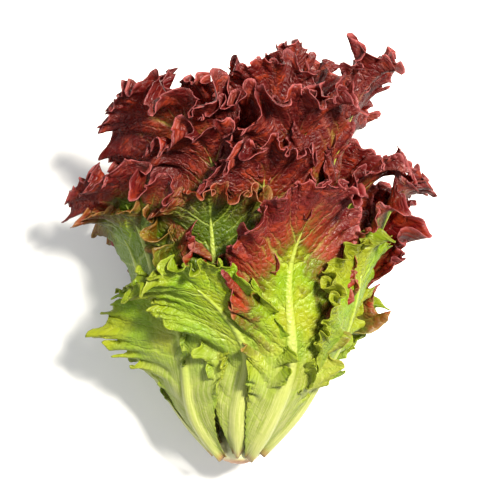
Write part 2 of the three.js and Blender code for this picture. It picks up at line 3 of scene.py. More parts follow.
import bpy
import numpy as np
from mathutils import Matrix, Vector


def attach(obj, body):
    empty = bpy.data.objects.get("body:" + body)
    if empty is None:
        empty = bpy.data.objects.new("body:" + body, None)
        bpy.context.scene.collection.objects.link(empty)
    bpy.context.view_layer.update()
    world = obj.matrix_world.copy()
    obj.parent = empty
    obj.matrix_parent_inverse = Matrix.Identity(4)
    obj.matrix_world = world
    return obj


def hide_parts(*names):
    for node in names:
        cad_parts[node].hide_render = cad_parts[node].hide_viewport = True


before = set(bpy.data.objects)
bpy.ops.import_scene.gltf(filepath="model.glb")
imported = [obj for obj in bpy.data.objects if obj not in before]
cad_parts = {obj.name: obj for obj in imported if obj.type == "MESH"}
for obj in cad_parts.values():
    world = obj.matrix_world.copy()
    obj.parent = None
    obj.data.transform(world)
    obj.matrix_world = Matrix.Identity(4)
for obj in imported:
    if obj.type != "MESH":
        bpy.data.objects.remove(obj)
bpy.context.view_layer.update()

# The leaves of the head, ring by ring from the outermost to the heart. Angles in degrees, lengths in
# millimetres. azimuth goes round the head's axis, shell is 1 outermost to 0 innermost, half_width is
# the blade's, lean and curl open the lower and the upper part, neck sets how high the widest place
# is, twist stands one side out, swing turns the tip aside, waves are frill crests and troughs down
# each side, red is how far the red reaches down.
LEAF_KEYS = ("name", "azimuth", "shell", "length", "half_width", "lean", "curl", "neck", "twist",
             "swing", "waves", "red")
LEAF_ROWS = [
    ("outer_left", 135, 1, 136, 43, -3, 10, 2.2, 12, 0, 20, 0.05),
    ("outer_front", 93, 0.95, 160, 40, 0, 55, 2.2, 7, 22, 20, 0.08),
    ("outer_right", 23, 0.97, 166, 40, 2, 0, 1.7, 11, 0, 20, 0.12),
    ("outer_low_left", 191, 0.99, 132, 45, 0, 0, 2.3, 7, 0, 16, 0.1),
    ("outer_low", 252, 1, 130, 50, 0, 0, 2.3, 5, 0, 16, 0.1),
    ("outer_low_right", 311, 0.99, 132, 46, 0, 0, 2.3, 11, 0, 16, 0.1),
    ("tall_front_right", 62, 1, 206, 43, -5, 10, 1.8, 2, -6, 22, 0.65),
    ("tall_right", 4, 0.84, 204, 42, 3, 33, 2.2, 7, 0, 18, 0.45),
    ("tall_right_up", 35, 0.74, 208, 50, 0, 50, 1.9, 5, 0, 18, 0.7),
    ("tall_left", 167, 0.89, 190, 58, 3, 27, 1.9, 5, 0, 18, 0.25),
    ("tall_left_up", 148, 0.84, 216, 57, 4, 42, 1.9, 5, 0, 18, 0.6),
    ("tall_low_left", 211, 0.78, 190, 56, 0, 0, 1.9, 15, 0, 16, 0.8),
    ("tall_low", 271, 0.86, 205, 56, 0, 0, 1.9, 15, 0, 16, 0.8),
    ("tall_low_right", 323, 0.84, 200, 56, 0, 0, 1.9, 15, 0, 16, 0.8),
    ("tall_front", 104, 0.76, 190, 44, -4, 58, 1.9, 5, 0, 18, 0.3),
    ("crown_left", 137, 0.64, 256, 55, 3, 50, 1.8, 9, 0, 18, 0.95),
    ("crown_mid_left", 119, 0.65, 226, 42, 0, 65, 1.8, 8, 0, 18, 0.9),
    ("crown_mid_right", 86, 0.6, 212, 38, 0, 70, 1.8, 5, 0, 18, 0.9),
    ("crown_front_left", 105, 0.44, 224, 44, 0, 55, 1.8, 9, 0, 18, 0.95),
    ("crown_front_right", 66, 0.56, 244, 48, 0, 60, 1.8, 9, 0, 18, 1),
    ("crown_right", 38, 0.52, 256, 54, 4, 32, 1.8, 7, 0, 18, 1),
    ("crown_far_right", 357, 0.54, 242, 50, 0, 10, 1.8, 5, 0, 18, 0.95),
    ("crown_low_left", 187, 0.54, 236, 52, 0, 10, 1.8, 15, 0, 16, 0.9),
    ("crown_low", 247, 0.6, 230, 52, 0, 0, 1.8, 15, 0, 16, 0.9),
    ("crown_low_right", 303, 0.58, 248, 52, 0, 0, 1.8, 15, 0, 16, 0.9),
    ("crown_front", 77, 0.3, 238, 44, 0, 45, 1.8, 9, 0, 16, 0.95),
    ("heart_left", 144, 0.24, 214, 40, 2, 35, 1.8, 15, 0, 12, 0.9),
    ("heart_low", 223, 0.34, 216, 40, 2, 15, 1.8, 11, 0, 12, 0.9),
    ("heart_right", 328, 0.27, 232, 39, 2, 15, 1.8, 4, 0, 12, 0.9),
    ("heart_up", 51, 0.14, 234, 38, 2, 10, 1.8, 5, 0, 12, 0.8),
]
LEAVES = [dict(zip(LEAF_KEYS, row)) for row in LEAF_ROWS]

# blade and rib
BLADE = 0.62
MARGIN_THINNER = 0.45
RIB_HEIGHT = 4.2
RIB_HEIGHT_TAPER = 1.2
RIB_WIDTH = 12
RIB_WIDTH_TAPER = 1.4
RIB_END_WIDTH = 0.8
RIB_SHARE_MOST = 0.62
RIB_ROUND = 1.3
HEART_RIB = 0.45
FOOT_HALF_WIDTH = 8.4
FOOT_HALF_WIDTH_INNER = 3.5
FOOT_TAPER = 1.2
BELLY_ROUND = 0.9
RAY_ROOT_SHARE = 0.82
RAY_ROOT_BEND = 1.15
RAY_BEND = 1.3
MARGIN_STEPS = 400
MARGIN_SLOPE_STEP = 0.8
SIDE_VEINS = 9

# waves of the blade, from the wide folds to the teeth of the margin
FULL_HALF_WIDTH = 60
SMOOTH_BELOW = 40
RUFFLED_ABOVE = 92
FOLD_LENGTH = 62
FOLD_HEIGHT = 8.5
FOLD_OVERHANG = 4.0
FRILL_HEIGHT = 8.0
FRILL_OVERHANG = 3.4
FRILL_IN_OUT = 2.5
FRILL_CROWDING = 1.25
FRILL_WOBBLE = 0.012
MARGIN_LIFT = 5.0
RUFFLE_LENGTH = 25
RUFFLE_HEIGHT = 2.6
CURL_LENGTH = 13.5
CURL_HEIGHT = 5.6
CURL_OVERHANG = 2.8
CRINKLE_LENGTH = 6.2
CRINKLE_HEIGHT = 3.1
CRINKLE_OVERHANG = 1.1
TOOTH_LENGTH = 4.6
TOOTH_REACH = 2.6
LOBE_LENGTH = 7.9
LOBE_REACH = 0.8
TEETH_FROM = 0.93
BULGE_HEIGHT = 2.6
PUCKER_HEIGHT = 0.65
SLOW_WAVE_HEIGHT = 3.5

# the stem core and where the leaves stand on it
BUTT_Y = -140
CORE_RADIUS = 15
CORE_STRAIGHT = 10
CORE_LENGTH = 85
CORE_CLEAR = 0.75
FOOT_LOWEST = 7
FOOT_RANGE = 56

# opening angle of a leaf at its foot, and its changes: degrees, from and to this length
INNER_OPENING = 6
INNER_CHANGES = ((-5, 0, 60), (-2, 60, 140), (-3, 140, 230))
OUTER_OPENING = 48
OUTER_CHANGES = ((-18, 0, 70), (-18, 50, 140), (22, 130, 230))
MERIDIAN_STEP = 3
MERIDIAN_STEPS = 120
LEAST_TURN_RADIUS = 30

# how the head lies
AXIS_X = -12
AXIS_X_BEND = 14
AXIS_Z = 49
AXIS_Z_DROP = 12
DEPTH = 0.8
HALF_BELOW = 62
WARP = 5.5
SHELL_LIFT = 45
SHELL_LIFT_DROP = 6.3
SHIFT_X = 4.5
SHIFT_Y = -1

# fine grid: columns down each side, and rows from the midrib to the margin with their stride
COLUMNS = 360
RIB_ROWS = (0, 0.35, 0.7, 1.0)
BLADE_ROWS = (0.06, 0.13, 0.2, 0.28, 0.36, 0.44, 0.52, 0.6, 0.67, 0.735, 0.79, 0.835, 0.87, 0.9,
              0.925, 0.947, 0.966, 0.984, 1.0)
STRIDES = (8,) * 8 + (4,) * 5 + (2,) * 3 + (1,) * 7


def smooth(low, high, value):
    t = np.clip((value - low) / (high - low), 0, 1)
    return t * t * (3 - 2 * t)


def draw(row, item):
    """A fixed number from 0 to 1 for a leaf and an item."""
    v = np.sin(row * 12.9898 + item * 78.233) * 43758.5453
    return v - np.floor(v)


def phase(k, item):
    return 6.283 * draw(k, item)


def core_radius(height):
    return CORE_RADIUS * (1 - smooth(CORE_STRAIGHT, CORE_LENGTH, height))


def laid(x, y, z):
    """Slow waves of the whole head, its flattened lower side and its place in the frame."""
    size = WARP * smooth(-120, -40, y)
    px = x + size * (np.sin(y * 0.041 + 1.3) * np.cos(z * 0.037 + 0.4)
                     + 0.6 * np.sin(z * 0.055 + x * 0.02))
    py = y + size * np.sin(x * 0.043 + 0.7) * np.cos(z * 0.031 + 2.1)
    pz = z + size * np.sin(x * 0.036 + 2.9) * np.cos(y * 0.04 + 0.2)
    pz = pz * (1 - (1 - DEPTH) * smooth(10, 60, np.abs(pz)))
    pz = np.where(pz < 0, -HALF_BELOW * np.tanh(-pz / HALF_BELOW), pz)
    px = px + AXIS_X + AXIS_X_BEND * smooth(-140, 120, py)
    pz = pz + AXIS_Z - AXIS_Z_DROP * (1 - smooth(-150, 0, py))
    return np.stack([px + SHIFT_X, py + SHIFT_Y, pz], -1)


def opening(first, changes, length):
    angle = first
    for degrees, start, end in changes:
        angle = angle + degrees * smooth(start, end, length)
    return angle


def meridian_of(leaf):
    """Distance along the leaf, radius from the axis, y and opening angle."""
    share = leaf["shell"] ** 1.25

    def angle_at(length):
        inner = opening(INNER_OPENING, INNER_CHANGES, length)
        outer = opening(OUTER_OPENING, OUTER_CHANGES, length)
        along = length / leaf["length"]
        return np.radians(inner + (outer - inner) * share
                          + leaf["lean"] * smooth(0, 0.8, along)
                          + leaf["curl"] * smooth(0.55, 1.1, along))

    def summed(steps):
        return np.concatenate([[0], np.cumsum(steps)]) * MERIDIAN_STEP

    foot = FOOT_LOWEST + FOOT_RANGE * (1 - leaf["shell"])
    length = np.arange(MERIDIAN_STEPS + 1) * MERIDIAN_STEP
    middle = angle_at(length[1:] - MERIDIAN_STEP / 2)
    radius = core_radius(foot) + CORE_CLEAR + summed(np.sin(middle))
    y = BUTT_Y + foot + summed(np.cos(middle))
    return length, radius, y, angle_at(length)


def margin_of(leaf):
    """Arc length along the margin, ray number, distance across and distance along."""
    foot = FOOT_HALF_WIDTH_INNER + (FOOT_HALF_WIDTH - FOOT_HALF_WIDTH_INNER) * leaf["shell"] ** 2
    ray = np.linspace(0, 1, MARGIN_STEPS + 1)
    belly = np.maximum(0, np.sin(pi * ray ** leaf["neck"]))
    across = foot * (1 - ray) ** FOOT_TAPER + leaf["half_width"] * belly ** BELLY_ROUND
    along = leaf["length"] * (0.5 - 0.5 * np.cos(pi * ray))
    arc = np.concatenate([[0], np.cumsum(np.hypot(np.diff(across), np.diff(along)))])
    return arc, ray, across, along


def margin_samples(leaf):
    """The margin from the foot over the tip to the foot, one sample for each column."""
    column = np.concatenate([np.arange(COLUMNS + 1), np.arange(COLUMNS - 1, -1, -1)])
    place = column / COLUMNS
    side = np.where(np.arange(2 * COLUMNS + 1) <= COLUMNS, -1.0, 1.0)
    arc, ray, across, along = margin_of(leaf)
    total = arc[-1]
    at = place * total
    before = np.maximum(0, at - MARGIN_SLOPE_STEP)
    after = np.minimum(total, at + MARGIN_SLOPE_STEP)
    run_across = (np.interp(after, arc, across) - np.interp(before, arc, across)) * side
    run_along = np.interp(after, arc, along) - np.interp(before, arc, along)
    tip = column == COLUMNS
    run_across = np.where(tip, -side, run_across)
    run_along = np.where(tip, 0, run_along)
    run = np.hypot(run_across, run_along) * -side
    return {
        "place": place,
        "side": side,
        "from_tip": (total - at) * side,
        "ray": np.interp(at, arc, ray),
        "across": np.interp(at, arc, across),
        "along": np.interp(at, arc, along),
        "slope_across": run_across / run,
        "slope_along": run_along / run,
    }


def rib_of(leaf, margin, root):
    """Share of each ray that the rib takes, and the rib's height there."""
    along = np.clip(root / leaf["length"], 0, 1)
    stout = HEART_RIB + (1 - HEART_RIB) * leaf["shell"]
    width = RIB_WIDTH * stout * (1 - along) ** RIB_WIDTH_TAPER + RIB_END_WIDTH
    ray_length = np.hypot(margin["across"], margin["along"] - root)
    share = np.minimum(RIB_SHARE_MOST, width / ray_length)
    return share, RIB_HEIGHT * stout * (1 - along) ** RIB_HEIGHT_TAPER


def frill_place(k, side, place):
    wobble = FRILL_WOBBLE * np.sin(pi * place) * np.sin(19 * place + phase(k, 30 + side))
    return place ** FRILL_CROWDING + wobble


def margin_waves(k, leaf, margin, grow, share):
    """How far the blade rises, slides along the margin and reaches past it, in millimetres."""
    s = margin["from_tip"]
    place = margin["place"]

    def spaced(length, sway, rate, first, second):
        return 2 * pi * s / length + sway * np.sin(s * rate + phase(k, first)) + phase(k, second)

    def uneven(middle, change, rate, item):
        return middle + change * np.sin(s * rate + phase(k, item))

    scale = leaf["half_width"] / FULL_HALF_WIDTH * grow
    fold = spaced(FOLD_LENGTH, 1.3, 0.019, 1, 2)
    fold_size = scale * uneven(0.75, 0.35, 0.031, 7)
    frill_at = np.where(margin["side"] < 0, frill_place(k, -1, place), frill_place(k, 1, place))
    frill = pi * leaf["waves"] * frill_at + pi / 2
    frill_size = scale * uneven(0.7, 0.45, 0.057, 8)
    ruffle = spaced(RUFFLE_LENGTH, 1.5, 0.05, 21, 22) + 1.2 * share
    curl = spaced(CURL_LENGTH, 2.0, 0.09, 5, 6)
    curl_size = grow * uneven(0.65, 0.5, 0.11, 9)
    crinkle = spaced(CRINKLE_LENGTH, 1.6, 0.23, 18, 19)
    crinkle_size = grow * uneven(0.7, 0.35, 0.31, 20)
    rise = (FOLD_HEIGHT * fold_size * share ** 1.6 * np.sin(fold)
            + FRILL_HEIGHT * frill_size * share ** 4 * np.sin(frill)
            + MARGIN_LIFT * grow * share ** 3
            + RUFFLE_HEIGHT * grow * share ** 1.5 * np.sin(ruffle)
            + CURL_HEIGHT * curl_size * share ** 5 * np.sin(curl)
            + CRINKLE_HEIGHT * crinkle_size * share ** 6 * np.sin(crinkle))
    slide = -(FOLD_OVERHANG * fold_size * share ** 3 * np.sin(2 * fold)
              + FRILL_OVERHANG * frill_size * share ** 4 * np.sin(2 * frill)
              + CURL_OVERHANG * curl_size * share ** 5 * np.sin(2 * curl)
              + CRINKLE_OVERHANG * crinkle_size * share ** 6 * np.sin(2 * crinkle))
    tooth = np.sin(pi * s / TOOTH_LENGTH + 1.5 * np.sin(s * 0.21 + phase(k, 10)))
    lobe = np.sin(2 * pi * s / LOBE_LENGTH + 2 * np.sin(s * 0.17 + phase(k, 11)))
    teeth = TOOTH_REACH * np.abs(tooth) ** 0.6 * (0.65 + 0.35 * lobe) + LOBE_REACH * lobe
    reach = (FRILL_IN_OUT * grow * share ** 6 * np.sin(frill + 1.1) * frill_size
             - teeth * smooth(TEETH_FROM, 1.0, share) * (0.25 + 0.75 * grow))
    return rise, slide, reach


def relief(k, leaf, margin, grow, share, across, along):
    """Bulges between the side veins, puckers, the leaf's twist and its slow waves."""
    vein = np.abs(np.sin(pi * SIDE_VEINS * margin["ray"]
                         + 0.6 * np.sin(3 * share + phase(k, 12))))
    bulges = BULGE_HEIGHT * (vein ** 0.7 - 0.6) * smooth(0.1, 0.4, share) * (1 - 0.5 * share) * grow
    puckers = (PUCKER_HEIGHT
               * np.sin(across * 0.7 + phase(k, 13) + 1.2 * np.sin(along * 0.31))
               * np.sin(along * 0.62 + phase(k, 14) + np.sin(across * 0.4))
               * smooth(0.1, 0.3, share) * smooth(45, 110, along))
    twist = leaf["twist"] * across / leaf["half_width"] * smooth(40, 120, along)
    slow = (SLOW_WAVE_HEIGHT * np.sin(across * 0.045 + phase(k, 15))
            * np.sin(along * 0.035 + phase(k, 16)) * smooth(30, 90, along))
    return bulges + puckers + twist + slow


def on_head(k, leaf, across, along, rise):
    """Points in the frame of a leaf's sheet, given across, along and above its middle line."""
    length, radii, heights, angles = meridian_of(leaf)
    radius = np.interp(along, length, radii)
    y = np.interp(along, length, heights)
    angle = np.interp(along, length, angles)
    turn = (radians(leaf["azimuth"])
            + radians(leaf["swing"]) * smooth(0.45, 1, along / leaf["length"])
            + across / np.hypot(radius, LEAST_TURN_RADIUS)
            + 0.1 * np.sin(along * 0.016 + phase(k, 17)) * smooth(30, 120, along))
    out = radius + rise * np.cos(angle)
    return laid(out * np.cos(turn), y - rise * np.sin(angle), out * np.sin(turn))


def sheet_points(k, leaf):
    """Mid surface of a leaf on the full grid, with what its material reads."""
    margin = margin_samples(leaf)
    root = RAY_ROOT_SHARE * leaf["length"] * (margin["along"] / leaf["length"]) ** RAY_ROOT_BEND
    rib_share, rib_height = rib_of(leaf, margin, root)
    share = np.array([rib_share * row for row in RIB_ROWS]
                     + [rib_share + (1 - rib_share) * row for row in BLADE_ROWS])
    dome = 1 - np.array(RIB_ROWS + (1.0,) * len(BLADE_ROWS))[:, None] ** 2
    height = dome ** RIB_ROUND * rib_height
    grow = smooth(SMOOTH_BELOW, RUFFLED_ABOVE, margin["along"])
    rise, slide, reach = margin_waves(k, leaf, margin, grow, share)
    across = (margin["across"] * margin["side"] * share
              + slide * margin["slope_across"] - reach * margin["slope_along"])
    along = (root + (margin["along"] - root) * share ** RAY_BEND
             + slide * margin["slope_along"] + reach * margin["slope_across"])
    rise = rise + relief(k, leaf, margin, grow, share, across, along)
    points = on_head(k, leaf, across, along, rise)
    lift = SHELL_LIFT * (1 - leaf["shell"]) - SHELL_LIFT_DROP * smooth(-40, 10, points[..., 1])
    points[..., 2] = np.maximum(points[..., 2], BLADE / 2 + np.maximum(0, lift) + height)
    facts = {
        "edge": share,
        "ray": np.broadcast_to(margin["ray"] * SIDE_VEINS, share.shape),
        "rib": np.broadcast_to(dome, share.shape),
        "along": along / leaf["length"],
        "across": across,
        "height": height,
        "length": along,
    }
    return points, facts


def grid_of(k, leaf):
    """Vertices, triangles, boundary loop and per vertex facts of a leaf's mid surface."""
    points, facts = sheet_points(k, leaf)
    rows = len(STRIDES)
    index = []
    vertices = []
    values = {key: [] for key in facts}
    base = 0
    for row, stride in enumerate(STRIDES):
        columns = np.arange(0, 2 * COLUMNS + 1, stride)
        if row == 0:
            kept = np.arange(0, COLUMNS + 1, stride)
            index.append(base + np.minimum(columns, 2 * COLUMNS - columns) // stride)
        else:
            kept = columns
            index.append(base + np.arange(len(columns)))
        vertices.append(points[row, kept])
        for key in facts:
            values[key].append(facts[key][row, kept])
        base += len(kept)
    faces = []
    for row in range(rows - 1):
        near = index[row]
        far = index[row + 1]
        if STRIDES[row] == STRIDES[row + 1]:
            faces.append(np.stack([near[:-1], far[:-1], far[1:]], 1))
            faces.append(np.stack([near[:-1], far[1:], near[1:]], 1))
        else:
            faces.append(np.stack([near[:-1], far[:-1:2], far[1::2]], 1))
            faces.append(np.stack([near[:-1], far[1::2], near[1:]], 1))
            faces.append(np.stack([near[1:], far[1::2], far[2::2]], 1))
    loop = list(index[-1])
    loop += [index[row][-1] for row in range(rows - 2, 0, -1)]
    loop += [index[row][0] for row in range(rows - 1)]
    values = {key: np.concatenate(parts) for key, parts in values.items()}
    return np.concatenate(vertices), np.concatenate(faces), np.array(loop), values


def vertex_normals(vertices, faces):
    flat = np.cross(vertices[faces[:, 1]] - vertices[faces[:, 0]],
                    vertices[faces[:, 2]] - vertices[faces[:, 0]])
    normals = np.zeros_like(vertices)
    for corner in range(3):
        np.add.at(normals, faces[:, corner], flat)
    return normals / (np.linalg.norm(normals, axis=1, keepdims=True) + 1e-12)


def mesh_of(name, vertices, faces, facts):
    """A smooth mesh in metres from arrays in millimetres, with its float attributes."""
    mesh = bpy.data.meshes.new(name)
    mesh.vertices.add(len(vertices))
    mesh.vertices.foreach_set("co", (vertices / 1000).astype(np.float32).ravel())
    mesh.loops.add(len(faces) * 3)
    mesh.loops.foreach_set("vertex_index", faces.astype(np.int32).ravel())
    mesh.polygons.add(len(faces))
    mesh.polygons.foreach_set("loop_start", np.arange(0, len(faces) * 3, 3, dtype=np.int32))
    mesh.polygons.foreach_set("use_smooth", np.ones(len(faces), bool))
    mesh.update()
    mesh.validate()
    for key, values in facts.items():
        attribute = mesh.attributes.new(key, "FLOAT", "POINT")
        attribute.data.foreach_set("value", np.asarray(values, np.float32))
    return mesh


def leaf_mesh(k, leaf):
    """Outer face, inner face and rim of a leaf, both faces kept above the floor."""
    vertices, faces, loop, facts = grid_of(k, leaf)
    normals = vertex_normals(vertices, faces)
    away = vertices - np.array([AXIS_X, 0, AXIS_Z])
    away[:, 1] = 0
    if np.sum(away * normals) < 0:
        faces = faces[:, ::-1]
        normals = -normals
        loop = loop[::-1]
    count = len(vertices)
    thin = 0.5 * BLADE * (1 - MARGIN_THINNER * smooth(0.9, 1.0, facts["edge"]))
    outer = vertices + normals * (thin + facts["height"])[:, None]
    inner = vertices - normals * thin[:, None]
    outer[:, 2] = np.maximum(outer[:, 2], 0)
    inner[:, 2] = np.maximum(inner[:, 2], 0)
    after = np.roll(loop, -1)
    rim = np.concatenate([np.stack([loop, loop + count, after + count], 1),
                          np.stack([loop, after + count, after], 1)])
    faces = np.concatenate([faces, faces[:, ::-1] + count, rim])
    both = {key: np.tile(facts[key], 2) for key in ("edge", "ray", "rib", "along", "across", "length")}
    both["outer"] = np.repeat([1.0, 0.0], count)
    both["red"] = np.full(2 * count, leaf["red"])
    both["number"] = np.full(2 * count, float(k))
    both["deep"] = np.full(2 * count, 1 - leaf["shell"])
    return mesh_of(leaf["name"], np.concatenate([outer, inner]), faces, both)


# height from the cut face, radius: cut face with a slight dome, collar and taper
CORE_PROFILE = ((0.0, 0.0), (0.3, 3.2), (0.9, 6), (2.6, 10.4), (5.6, 13.6), (10, 14.8), (20, 13.9),
                (34, 10.9), (48, 7.1), (62, 3.4), (66, 0.0))
CORE_SIDES = 96
CORE_RINGS = 60
CUT_INSET = 0.2
RIDGE_HEIGHT = 0.9
BUTT_COLOUR_FROM = 2.0
BUTT_COLOUR_TO = 6.0


def core_mesh():
    """The stem with its cut face, ridged where the outermost leaves stand on it."""
    heights = np.array([height for height, radius in CORE_PROFILE], float)
    radii = np.array([radius for height, radius in CORE_PROFILE], float)
    arc = np.concatenate([[0], np.cumsum(np.hypot(np.diff(heights), np.diff(radii)))])
    at = np.linspace(0, arc[-1], CORE_RINGS)
    h = np.interp(at, arc, heights)[1:-1, None]
    r = np.interp(at, arc, radii)[1:-1, None]
    turn = (2 * pi * np.arange(CORE_SIDES) / CORE_SIDES)[None, :]
    uneven = smooth(1, 4, h) * (1 - smooth(12, 22, h))
    ridge = np.abs(np.sin(turn * 3 + 0.8 + 0.5 * np.sin(turn * 2))) ** 0.5
    r = r + uneven * (RIDGE_HEIGHT * (ridge - 0.7) + 0.25 * np.sin(turn * 11 + h))
    h = h + 0.15 * np.sin(turn * 7 + r) * (1 - smooth(2, 5, h))
    ring = laid(r * np.cos(turn), BUTT_Y + h + CUT_INSET, r * np.sin(turn))
    first = laid(np.zeros(1), np.full(1, BUTT_Y + CUT_INSET), np.zeros(1))
    last = laid(np.zeros(1), np.full(1, BUTT_Y + heights[-1]), np.zeros(1))
    vertices = np.concatenate([first, ring.reshape(-1, 3), last])
    i = np.arange(CORE_SIDES)
    after = (i + 1) % CORE_SIDES
    faces = [np.stack([np.zeros_like(i), 1 + i, 1 + after], 1)]
    for row in range(len(ring) - 1):
        near = 1 + row * CORE_SIDES
        far = near + CORE_SIDES
        faces.append(np.stack([near + i, far + i, far + after], 1))
        faces.append(np.stack([near + i, far + after, near + after], 1))
    top = 1 + (len(ring) - 1) * CORE_SIDES
    faces.append(np.stack([top + i, np.full_like(i, len(vertices) - 1), top + after], 1))
    butt = 1 - smooth(BUTT_COLOUR_FROM, BUTT_COLOUR_TO, vertices[:, 1] - BUTT_Y)
    return mesh_of("stem_core", vertices, np.concatenate(faces), {"butt": butt})


class Look:
    """Short ways to add nodes to a material."""

    def __init__(self, name):
        self.material = bpy.data.materials.new(name)
        self.material.use_nodes = True
        self.tree = self.material.node_tree
        self.shader = self.tree.nodes["Principled BSDF"]

    def node(self, kind, **settings):
        made = self.tree.nodes.new(kind)
        for key, value in settings.items():
            setattr(made, key, value)
        return made

    def put(self, socket, value):
        if isinstance(value, bpy.types.NodeSocket):
            self.tree.links.new(value, socket)
        else:
            socket.default_value = value

    def set(self, name, value):
        self.put(self.shader.inputs[name], value)

    def fact(self, name):
        return self.node("ShaderNodeAttribute", attribute_name=name).outputs["Fac"]

    def math(self, operation, *values, clamp=False):
        made = self.node("ShaderNodeMath", operation=operation, use_clamp=clamp)
        for socket, value in zip(made.inputs, values):
            self.put(socket, value)
        return made.outputs[0]

    def plus(self, first, second):
        return self.math("ADD", first, second)

    def less(self, first, second):
        return self.math("SUBTRACT", first, second)

    def times(self, first, second):
        return self.math("MULTIPLY", first, second)

    def ease(self, value, low, high, start=0.0, end=1.0):
        made = self.node("ShaderNodeMapRange", interpolation_type="SMOOTHSTEP")
        for name, v in (("Value", value), ("From Min", low), ("From Max", high),
                        ("To Min", start), ("To Max", end)):
            self.put(made.inputs[name], v)
        return made.outputs["Result"]

    def vector(self, x, y, z):
        made = self.node("ShaderNodeCombineXYZ")
        for socket, value in zip(made.inputs, (x, y, z)):
            self.put(socket, value)
        return made.outputs[0]

    def noise(self, at, scale, detail, roughness=0.55, distortion=0.0):
        made = self.node("ShaderNodeTexNoise")
        self.put(made.inputs["Vector"], at)
        made.inputs["Scale"].default_value = scale
        made.inputs["Detail"].default_value = detail
        made.inputs["Roughness"].default_value = roughness
        made.inputs["Distortion"].default_value = distortion
        return made.outputs["Fac"]

    def cells(self, at, scale):
        """Distance from the edge of irregular cells."""
        made = self.node("ShaderNodeTexVoronoi", feature="DISTANCE_TO_EDGE")
        self.put(made.inputs["Vector"], at)
        made.inputs["Scale"].default_value = scale
        return made.outputs["Distance"]

    def mix(self, share, low, high, blend="MIX"):
        made = self.node("ShaderNodeMix", data_type="RGBA", blend_type=blend)
        self.put(made.inputs["Factor"], share)
        self.put(made.inputs["A"], low)
        self.put(made.inputs["B"], high)
        return made.outputs["Result"]

    def tinted(self, share, colour, tint):
        return self.mix(share, colour, self.mix(1.0, colour, tint, "MULTIPLY"))

    def ramp(self, value, stops):
        made = self.node("ShaderNodeValToRGB")
        elements = made.color_ramp.elements
        elements[0].position, elements[0].color = stops[0]
        elements[1].position, elements[1].color = stops[-1]
        for position, colour in stops[1:-1]:
            elements.new(position).color = colour
        self.put(made.inputs["Fac"], value)
        return made.outputs["Color"]

    def bump(self, height, strength, distance, normal=None):
        made = self.node("ShaderNodeBump")
        made.inputs["Strength"].default_value = strength
        made.inputs["Distance"].default_value = distance
        self.put(made.inputs["Height"], height)
        if normal is not None:
            self.put(made.inputs["Normal"], normal)
        return made.outputs["Normal"]


def rgb(r, g, b):
    """Scene colour of a screen colour given as 0 to 255."""
    def linear(v):
        v /= 255
        return v / 12.92 if v <= 0.04045 else ((v + 0.055) / 1.055) ** 2.4
    return (linear(r), linear(g), linear(b), 1)


# blade colours from all green to all red: lush on the inner face, half lush and half dusty outside
LUSH = [(0.0, rgb(108, 144, 4)), (0.22, rgb(88, 92, 4)), (0.42, rgb(120, 58, 6)),
        (0.65, rgb(142, 34, 12)), (1.0, rgb(96, 12, 16))]
DUSTY = [(0.0, rgb(132, 166, 10)), (0.25, rgb(106, 106, 12)), (0.45, rgb(124, 76, 30)),
         (0.7, rgb(132, 48, 30)), (1.0, rgb(104, 24, 24))]
# painted light: a lighter yellow-green laid on the outermost leaves in place of the lamp's light on them
PAINTED_LIGHT_GREEN = rgb(176, 180, 34)
# painted glow: orange patches stand in for light shining through the red leaves
PAINTED_GLOW_ORANGE = rgb(168, 58, 18)
DARK_WINE = rgb(52, 8, 14)
SHADE_TINT = rgb(146, 148, 90)
WARM_TINT = rgb(250, 205, 150)
GRAIN_TINT = rgb(190, 195, 170)
STALK_PALE = rgb(186, 188, 118)
STALK_GREEN = rgb(142, 156, 62)
VEIN_GREEN = rgb(160, 178, 66)
VEIN_RED = rgb(140, 70, 58)
RIB_PALE = rgb(182, 184, 108)
RIB_GREEN = rgb(150, 164, 66)
RIB_RED = rgb(150, 84, 62)
BROWNED = rgb(150, 96, 62)
# painted highlight along the frilled margins, green on the green parts and pink on the red
PAINTED_HIGHLIGHT_GREEN = rgb(160, 170, 50)
PAINTED_HIGHLIGHT_PINK = rgb(190, 104, 106)
GLOW_GREEN = rgb(214, 226, 60)
GLOW_RED = rgb(232, 92, 40)
FLESH_PALE = rgb(222, 222, 178)
FLESH_GREEN = rgb(196, 202, 140)
SCAR_PALE = rgb(196, 150, 112)
SCAR_BROWN = rgb(148, 96, 62)

LEAF_SPACING = 37.0
NET_SCALE = 0.26
SMALL_NET_SCALE = 0.7


